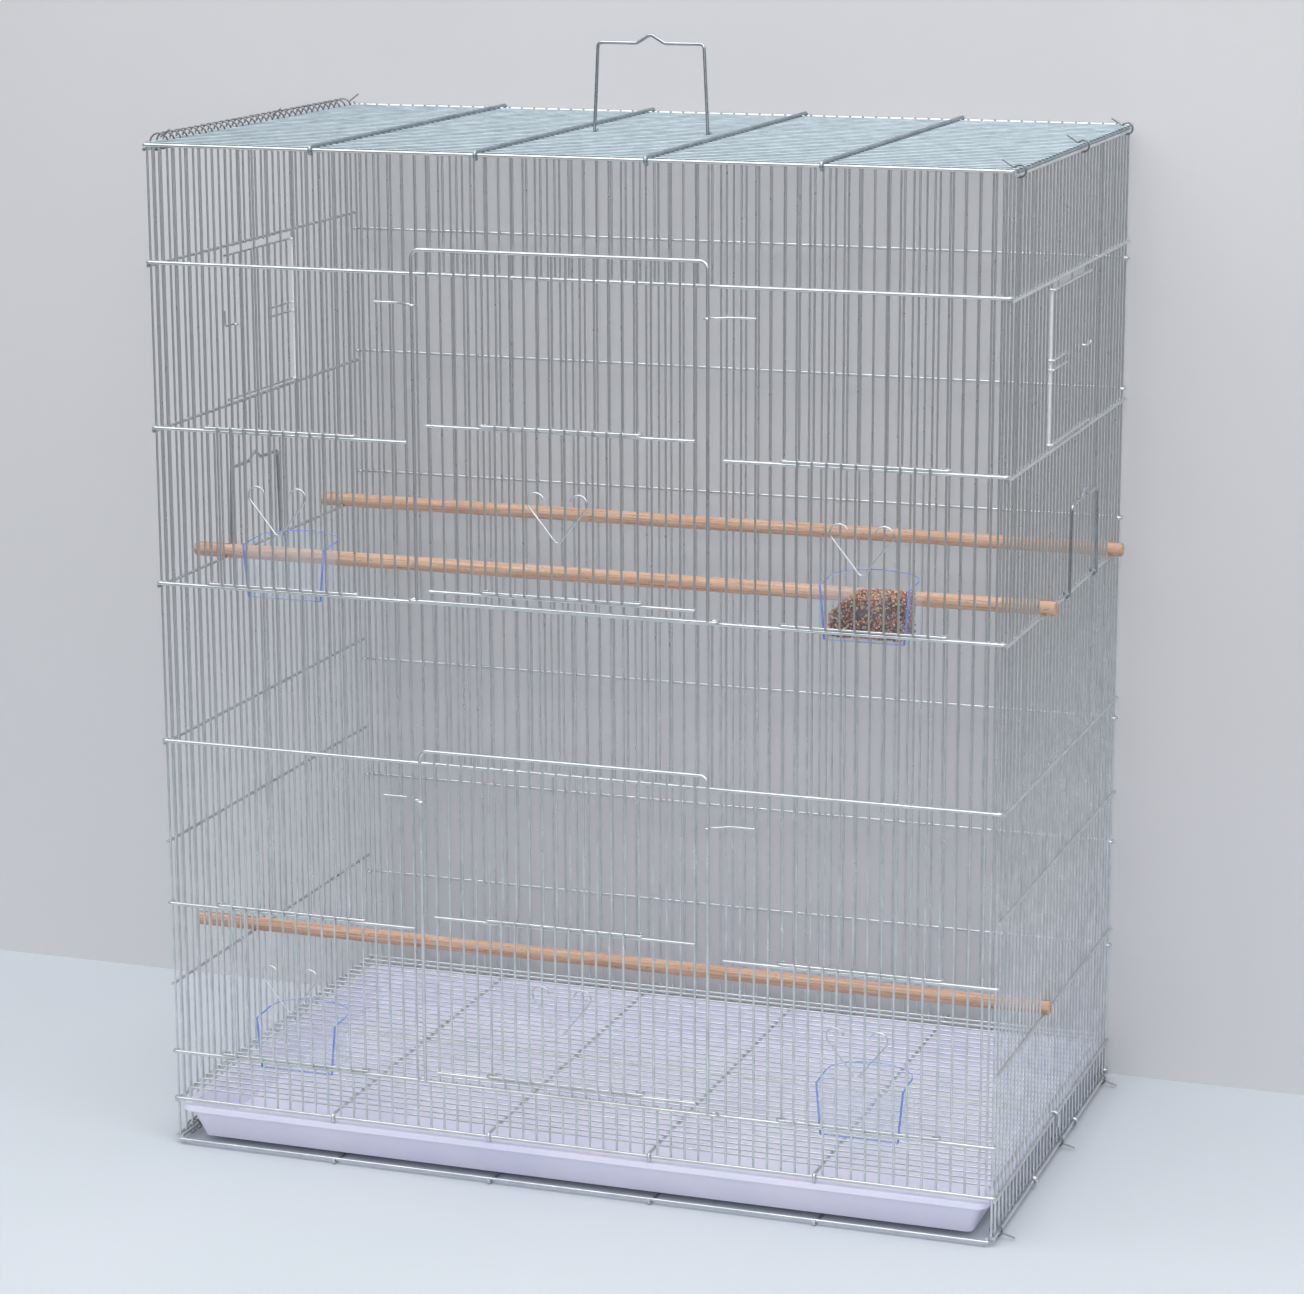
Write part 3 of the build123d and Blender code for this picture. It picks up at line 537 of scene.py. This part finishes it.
# %% Sizes of a cup and of its lines
CUP_HALF_TOP = 38 * MM
CUP_HALF_LOW = 34 * MM
CUP_FRONT_HEIGHT = 46.5 * MM
CUP_LIP = 2.35 * MM
CUP_SIDE = 30 * MM
CUP_ROUND = 22 * MM
RIM_STEPS = 5
SIDE_RISE = 2 * MM
BACK_RISE = 3 * MM
CORNER_LINE = 1.9 * MM
SIDE_LINE = 1.4 * MM
RIM_LINE = 0.8 * MM
FOOT_LINE = 0.7 * MM
INSET = 1 * MM
print("lines from", round(1000 * FOOT_LINE, 1), "to", round(1000 * CORNER_LINE, 1), "mm thick")


def bar(shape, start, finish, thickness):
    """A thin six-sided bar between two points."""
    along = finish - start
    turned = Vector((0, 0, 1)).rotation_difference(along).to_matrix().to_4x4()
    bmesh.ops.create_cone(
        shape,
        cap_ends=True,
        segments=6,
        radius1=thickness / 2,
        radius2=thickness / 2,
        depth=along.length,
        matrix=Matrix.Translation((start + finish) / 2) @ turned,
    )


# %% [markdown]
# Each side is drawn from its foot up to the front corner, back along the wall and round the rim,
# in five steps of a quarter turn, so that the two sides meet at the middle of the back.

# %% Blue lines of the cups


def cup_edges(node):
    """The blue lines on one cup."""
    low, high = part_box(node)
    middle = (low[0] + high[0]) / 2
    front = low[1] + CUP_LIP
    rim_z = low[2] + CUP_FRONT_HEIGHT
    shape = bmesh.new()
    for side in (-1, 1):
        foot = Vector((middle + side * CUP_HALF_LOW, front + INSET, low[2] + INSET))
        corner = Vector((middle + side * CUP_HALF_TOP, front + INSET, rim_z))
        back = Vector((middle + side * CUP_HALF_TOP, front + CUP_SIDE, rim_z + SIDE_RISE))
        bar(shape, foot, corner, CORNER_LINE)
        bar(shape, corner, back, SIDE_LINE)
        for step in range(1, RIM_STEPS + 1):
            turn = math.pi / 2 * step / RIM_STEPS
            across = side * CUP_HALF_TOP * math.cos(turn)
            deep = CUP_ROUND * math.sin(turn)
            climb = SIDE_RISE + BACK_RISE * math.sin(turn)
            ahead = Vector((middle + across, front + CUP_SIDE + deep, rim_z + climb))
            bar(shape, back, ahead, RIM_LINE)
            back = ahead
    left = Vector((middle - CUP_HALF_LOW, front + INSET, low[2] + INSET))
    bar(shape, left, left + Vector((2 * CUP_HALF_LOW, 0, 0)), FOOT_LINE)
    return finish_mesh(shape, node + "_edges", smooth=False)


edge_blue = blue_edge()
for node in cup_names:
    edges = cup_edges(node)
    edges.data.materials.append(edge_blue)
    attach(edges, "cage")
print(len(cup_names), "cups with blue edges")

# %% [markdown]
# ## Seed
# One cup is filled with a mix of millets: cream, orange, brown and a few black grains, each under
# three millimetres long. Only the grains at the walls and on top can be seen, so they are strewn
# in a shell round a dark block of the same shape, whose dark brown is painted shade for the gaps
# deep in the heap. Each is a ball of twenty faces, squeezed long.

# %% Shape of the heap
SEED_LENGTH = 2.7 * MM
SEED_WIDTH = 1.9 * MM
SEED_COUNT = 1900
FILL_HEIGHT = 33.5 * MM
FILL_DEPTH = 40 * MM
FILL_HALF = 31.5 * MM
BLOCK_GAP = 1.5 * MM
SHELL = 1.2 * MM
POUR_REACH = 0.7
LOW_END = 0.55
WALL_INSET = 4 * MM
FLOOR_INSET = 3 * MM
GRAIN_TILT = 1.0
SEED_TINTS = ["#e6a766"] * 4 + ["#d2783a"] * 6 + ["#f6deb0"] * 3 + ["#8a4c24"] * 3 + ["#1d1512"] * 2
# The dark brown of the painted shade inside the heap, seen in the gaps between grains.
SEED_SHADE_TINT = "#4a2a18"


def heap_height(x):
    """How high the seed lies, across the cup: level, but poured down at the left end."""
    share = min(1.0, (x + FILL_HALF) / (POUR_REACH * FILL_HALF))
    return FILL_HEIGHT * (LOW_END + (1 - LOW_END) * math.sin(share * math.pi / 2))


def stain(faces, tint, colour):
    """Writes one colour on every corner of the faces."""
    for face in faces:
        for loop in face.loops:
            loop[tint] = colour


def shade_block(shape, tint):
    """The dark block of painted shade that fills the heap, a little inside its skin."""
    block = bmesh.ops.create_grid(shape, x_segments=12, y_segments=4, size=1.0)["verts"]
    for vert in block:
        vert.co.x *= FILL_HALF - BLOCK_GAP
        vert.co.y = FILL_DEPTH / 2 + vert.co.y * (FILL_DEPTH / 2 - BLOCK_GAP)
    walls = bmesh.ops.extrude_face_region(shape, geom=shape.faces[:])["geom"]
    for vert in [v for v in walls if isinstance(v, bmesh.types.BMVert)]:
        vert.co.z = heap_height(vert.co.x) - BLOCK_GAP
    bmesh.ops.recalc_face_normals(shape, faces=shape.faces[:])
    stain(shape.faces, tint, linear(SEED_SHADE_TINT))


print("heap from", round(1000 * heap_height(-FILL_HALF)), "to", round(1000 * FILL_HEIGHT), "mm high")

# %% [markdown]
# A grain is first put anywhere in the heap, and then pushed to one of its outer faces. Front and
# top are drawn twice as often as the sides and the back, because they are what is seen.

# %% Grains
random.seed(4)
OUTER_FACES = ["front", "top", "side", "back", "front", "top"]


def grain_place():
    """A place in the outer layer of the heap."""
    x = random.uniform(-FILL_HALF, FILL_HALF)
    y = random.uniform(0, FILL_DEPTH)
    z = random.uniform(0, heap_height(x))
    face = random.choice(OUTER_FACES)
    if face == "front":
        y = random.uniform(0, SHELL)
    elif face == "back":
        y = FILL_DEPTH - random.uniform(0, SHELL)
    elif face == "top":
        z = heap_height(x) - random.uniform(0, SHELL)
    else:
        x = random.choice((-1, 1)) * (FILL_HALF - random.uniform(0, SHELL))
        z = random.uniform(0, heap_height(x))
    return Matrix.Translation((x, y, z))


def seed_heap():
    """The seed in one cup, as one mesh."""
    low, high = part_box("upper_right_cup")
    front = low[1] + CUP_LIP + WALL_INSET
    corner = Vector(((low[0] + high[0]) / 2, front, low[2] + FLOOR_INSET))
    squeeze = Matrix.Diagonal((SEED_LENGTH / 2, SEED_WIDTH / 2, SEED_WIDTH / 2, 1))
    shape = bmesh.new()
    tint = shape.loops.layers.float_color.new("seed_tint")
    # A dark block of painted shade inside the shell of grains.
    shade_block(shape, tint)
    for _ in range(SEED_COUNT):
        place = grain_place()
        turn = Matrix.Rotation(random.uniform(0, math.pi), 4, "Z")
        tilt = Matrix.Rotation(random.uniform(-GRAIN_TILT, GRAIN_TILT), 4, "Y")
        grain = bmesh.ops.create_icosphere(
            shape, subdivisions=1, radius=1.0, matrix=place @ turn @ tilt @ squeeze
        )["verts"]
        colour = linear(random.choice(SEED_TINTS))
        stain({f for v in grain for f in v.link_faces}, tint, colour)
    bmesh.ops.translate(shape, verts=shape.verts[:], vec=corner)
    return finish_mesh(shape, "seed_mix")


# %% [markdown]
# The husk takes each grain's own colour from the mesh, and a noise as wide as a grain darkens
# parts of it, which keeps two neighbours of one tint apart.

# %% Husk


def seed_husk():
    """The seed's own tint, with worn parts."""
    material, shader = new_material("millet_husk", Roughness=0.5, IOR=1.45)
    tint = add_node(material, "ShaderNodeAttribute", attribute_name="seed_tint").outputs["Color"]
    wear = own_noise(material, SEED_WIDTH, Detail=2.0)
    shade = noise_colours(material, wear, (0.3, "#b9b4ae"), (0.7, "#ffffff"))
    mix = add_node(
        material, "ShaderNodeMix", {6: tint, 7: shade}, data_type="RGBA", blend_type="MULTIPLY"
    )
    mix.inputs[0].default_value = 0.7
    material.node_tree.links.new(mix.outputs[2], shader.inputs["Base Color"])
    return material


heap = seed_heap()
heap.data.materials.append(seed_husk())
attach(heap, "cage")
print("seed mix", len(heap.data.polygons), "faces")

# %% [markdown]
# ## Room
# A cage of bare wire shows whatever is behind it, so the room matters as much as the lamps: a
# white table and a pale grey wall just behind the cage. The wall is painted on its front only, so
# that the cage can be looked at from behind too.

# %% Paint
WALL_Y = cad_high.y + 12 * MM
LIT_REACH = 1.0
PAINT_CLOUD = 0.5


def paint_far_shade(material, paint, shaded_far_colour):
    """Paints shade past the reach of the lamps, by turning the paint to another colour."""
    place = add_node(material, "ShaderNodeTexCoord").outputs["Object"]
    away = add_node(material, "ShaderNodeVectorMath", {0: place}, operation="LENGTH")
    fade = add_node(
        material,
        "ShaderNodeMapRange",
        {"Value": away.outputs["Value"]},
        interpolation_type="SMOOTHSTEP",
        From_Min=LIT_REACH,
        From_Max=2.2 * LIT_REACH,
    )
    links = {"Factor": fade.outputs["Result"], 6: paint}
    mix = add_node(material, "ShaderNodeMix", links, data_type="RGBA")
    mix.inputs[7].default_value = linear(shaded_far_colour)
    return mix.outputs[2]


def show_front_only(material, shader):
    """Makes the back of a sheet clear."""
    back = add_node(material, "ShaderNodeNewGeometry").outputs["Backfacing"]
    clear = add_node(material, "ShaderNodeBsdfTransparent").outputs["BSDF"]
    links = {0: back, 1: shader.outputs["BSDF"], 2: clear}
    both = add_node(material, "ShaderNodeMixShader", links)
    tree = material.node_tree
    tree.links.new(both.outputs["Shader"], tree.nodes["Material Output"].inputs["Surface"])


# %% [markdown]
# Floor and wall are one face each. They are marked as stage, so they aren't part of the cage. The
# wall stands a finger's width behind it, and the floor carries on in front and behind.

# %% Floor and wall
ROOM_REACH = 4
WALL_HEIGHT = 3


def plain_sheet(name, corners, dull, light, shaded_far_colour=None):
    """A flat part of the room, and its paint."""
    shape = bmesh.new()
    shape.faces.new([shape.verts.new(c) for c in corners])
    sheet = finish_mesh(shape, name, smooth=False)
    material, shader = new_material(name + "_paint", Roughness=0.9)
    cloud = own_noise(material, PAINT_CLOUD, Detail=2.0)
    paint = noise_colours(material, cloud, (0.3, dull), (0.7, light))
    if shaded_far_colour:
        paint = paint_far_shade(material, paint, shaded_far_colour)
    material.node_tree.links.new(paint, shader.inputs["Base Color"])
    sheet.data.materials.append(material)
    sheet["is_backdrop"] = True
    print(name, "in", material.name)
    return material, shader


floor_corners = [
    (-ROOM_REACH, -ROOM_REACH, 0),
    (ROOM_REACH, -ROOM_REACH, 0),
    (ROOM_REACH, ROOM_REACH, 0),
    (-ROOM_REACH, ROOM_REACH, 0),
]
wall_corners = [
    (-ROOM_REACH, WALL_Y, 0),
    (ROOM_REACH, WALL_Y, 0),
    (ROOM_REACH, WALL_Y, WALL_HEIGHT),
    (-ROOM_REACH, WALL_Y, WALL_HEIGHT),
]
# The floor turns to a dark grey far off: painted shade past the lamps.
plain_sheet("floor", floor_corners, "#c9cfd5", "#ced3d9", shaded_far_colour="#75726e")
show_front_only(*plain_sheet("wall", wall_corners, "#d8d7d9", "#dcdbdd"))

# %% [markdown]
# ## Light
# The light is a big soft window or lamp above and in front: rods shine on top, upright wires stay
# grey, and shadows are faint. The room's own glow fills the rest.

# %% Lamps


def soft_lamp(name, place, target, size, power):
    """A rectangle of light that faces its target."""
    data = bpy.data.lights.new(name, "AREA")
    data.shape = "RECTANGLE"
    data.size, data.size_y = size
    data.energy = power
    lamp = bpy.data.objects.new(name, data)
    bpy.context.scene.collection.objects.link(lamp)
    lamp.location = place
    lamp.rotation_euler = (Vector(target) - Vector(place)).to_track_quat("-Z", "Y").to_euler()
    print(name, power, "W")


soft_lamp("overhead", (0.3, -0.7, 2.6), (0.2, 0.0, 0.3), (4.2, 2.4), 60)
soft_lamp("window", (0.8, -2.9, 1.5), (0.2, 0, 0.3), (1.2, 1.2), 15)

# %% [markdown]
# The world's light comes from every side. Wires seen from the side reflect the horizon, which
# has to stay dim, or the cage would look white.

# %% Glow


def glow(world, low_colour, high_colour, strength):
    """A room that is dim at eye level and bright overhead."""
    way = add_node(world, "ShaderNodeTexCoord").outputs["Generated"]
    split = add_node(world, "ShaderNodeSeparateXYZ", {"Vector": way})
    ramp = add_node(world, "ShaderNodeValToRGB", {"Fac": split.outputs["Z"]})
    sky = colour_steps(ramp, (0.05, low_colour), (0.75, high_colour))
    back = world.node_tree.nodes["Background"]
    world.node_tree.links.new(sky, back.inputs["Color"])
    back.inputs["Strength"].default_value = strength
    print(world.name, "at", strength)


world = bpy.data.worlds.new("room_glow")
bpy.context.scene.world = world
world.use_nodes = True
glow(world, "#8b8e91", "#eef3f8", 0.85)
bpy.context.scene.view_settings.view_transform = "Standard"

# %% [markdown]
# ## Sizes
# The last cell prints the box of the cage as it is shown; the box as it was loaded is printed at
# the start.

# %% Write the sizes and finish
low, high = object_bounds()
print("shown from", [round(v, 3) for v in low], "to", [round(v, 3) for v in high])
